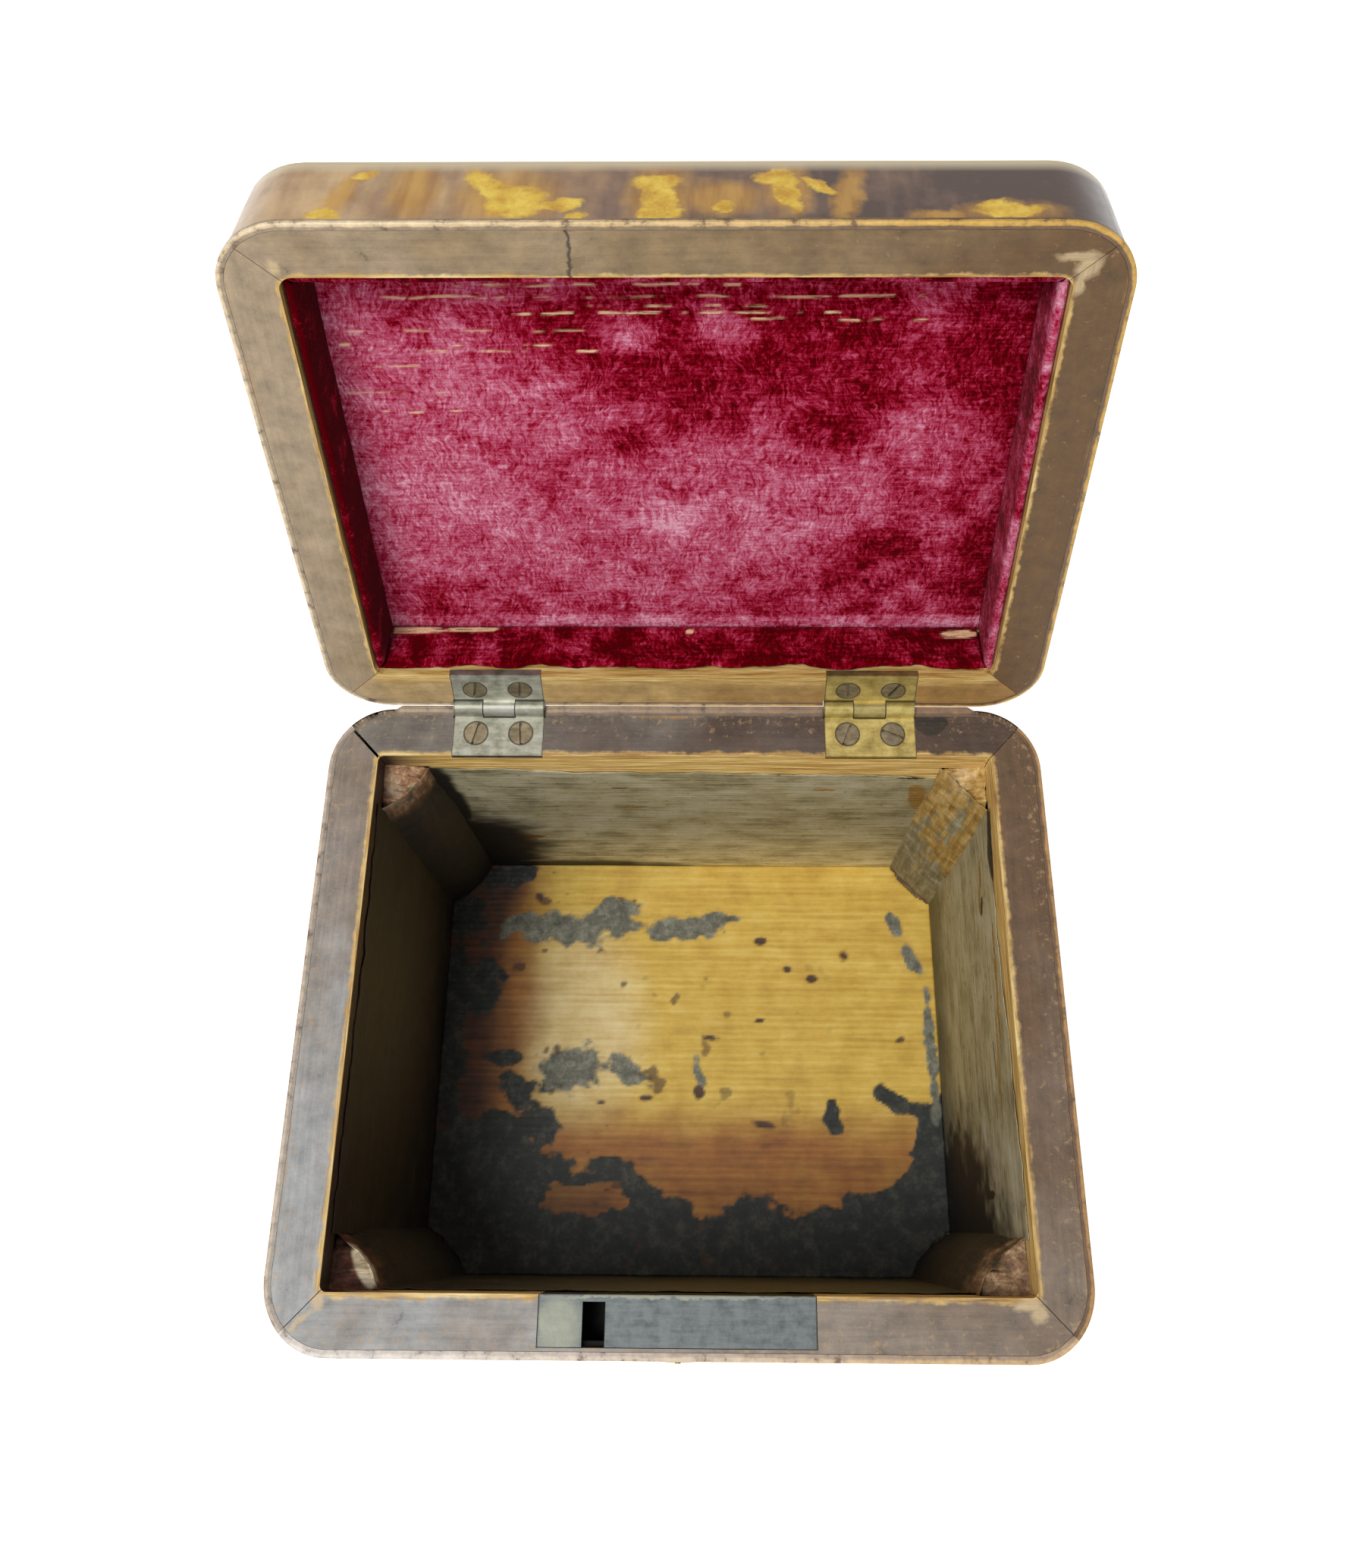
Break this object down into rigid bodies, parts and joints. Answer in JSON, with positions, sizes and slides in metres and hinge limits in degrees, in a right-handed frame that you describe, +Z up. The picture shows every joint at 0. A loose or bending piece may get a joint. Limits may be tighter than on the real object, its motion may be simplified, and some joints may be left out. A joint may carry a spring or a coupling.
{
  "type": "tortoiseshell box",
  "caption": "Small upright tortoiseshell box with rounded corners, a foil-lined wooden inside, a lock let into the front rim and a velvet-lined lid on brass butt hinges.",
  "frame": {"origin": "centre of the underside, where the box stands", "axes": "+X to the right seen from the front, -Y towards the front with the lock, +Z up"},
  "size_m": [0.1206, 0.1456, 0.179],
  "materials": {
    "tortoiseshell": "thin horn-like sheet, worn semi-gloss, mauve-brown with amber patches",
    "edging": "pale translucent horn strip, golden to tan, rounded and polished",
    "stained_wood": "purple-brown stain worn through to pale grain",
    "board_wood": "bare softwood, aged golden brown",
    "block_wood": "bare quarter-round glue blocks, torn and stained",
    "foil": "dull tea-chest foil, wrinkled and tarnished grey-green",
    "floor_foil": "mostly worn away foil that shows golden wood",
    "velvet": "crimson velvet, worn pink on its high lines",
    "hinge_brass_left": "nickel-toned patina over brass",
    "hinge_brass_right": "yellow-olive patinated brass",
    "screw_brass_left": "countersunk slotted brass, tarnished",
    "screw_brass_right": "countersunk slotted brass, tarnished",
    "hinge_pin_steel": "dull drawn wire",
    "lock_plate_metal": "grey steel with yellow-green patina",
    "lock_steel": "dark pressed steel",
    "lock_bolt_brass": "plain cast brass",
    "escutcheon_brass": "worn yellow brass"
  },
  "bodies": {
    "base": {"bottom_board": "board_wood", "base_wall_front": "stained_wood", "base_wall_back": "stained_wood", "base_wall_left": "stained_wood", "base_wall_right": "stained_wood", "corner_block_front_left": "block_wood", "corner_block_front_right": "block_wood", "corner_block_rear_left": "block_wood", "corner_block_rear_right": "block_wood", "foil_front": "foil", "foil_back": "foil", "foil_left": "foil", "foil_right": "foil", "foil_floor": "floor_foil", "base_shell_front": "tortoiseshell", "base_shell_back": "tortoiseshell", "base_shell_left": "tortoiseshell", "base_shell_right": "tortoiseshell", "base_edging_front": "edging", "base_edging_back": "edging", "base_edging_left": "edging", "base_edging_right": "edging", "keyhole_escutcheon": "escutcheon_brass", "escutcheon_pins": "escutcheon_brass", "lock_plate": "lock_plate_metal", "lock_pins": "lock_steel", "lock_case": "lock_steel", "lock_spring": "lock_steel", "key_post": "lock_steel", "hinge_base_leaf_left": "hinge_brass_left", "hinge_pin_left": "hinge_pin_steel", "hinge_base_screws_left": "screw_brass_left", "hinge_base_leaf_right": "hinge_brass_right", "hinge_pin_right": "hinge_pin_steel", "hinge_base_screws_right": "screw_brass_right"},
    "lid": {"hinge_lid_leaf_left": "hinge_brass_left", "hinge_lid_screws_left": "screw_brass_left", "hinge_lid_leaf_right": "hinge_brass_right", "hinge_lid_screws_right": "screw_brass_right", "lid_wall_front": "stained_wood", "lid_wall_back": "stained_wood", "lid_wall_left": "stained_wood", "lid_wall_right": "stained_wood", "lid_board": "board_wood", "lid_shell_front": "tortoiseshell", "lid_shell_back": "tortoiseshell", "lid_shell_left": "tortoiseshell", "lid_shell_right": "tortoiseshell", "lid_shell_top": "tortoiseshell", "lid_edging_front": "edging", "lid_edging_back": "edging", "lid_edging_left": "edging", "lid_edging_right": "edging", "velvet_panel": "velvet", "velvet_front": "velvet", "velvet_back": "velvet", "velvet_left": "velvet", "velvet_right": "velvet"},
    "bolt": {"lock_bolt": "lock_bolt_brass"}
  },
  "joints": [
    {"name": "lid_hinge", "type": "hinge", "parent": "base", "child": "lid", "pos_m": [0, 0.0486, 0.08805], "axis": [1, 0, 0], "range_deg": [0, 110]},
    {"name": "bolt_slide", "type": "slide", "parent": "base", "child": "bolt", "axis": [-1, 0, 0], "range_m": [0, 0.0045]}
  ]
}
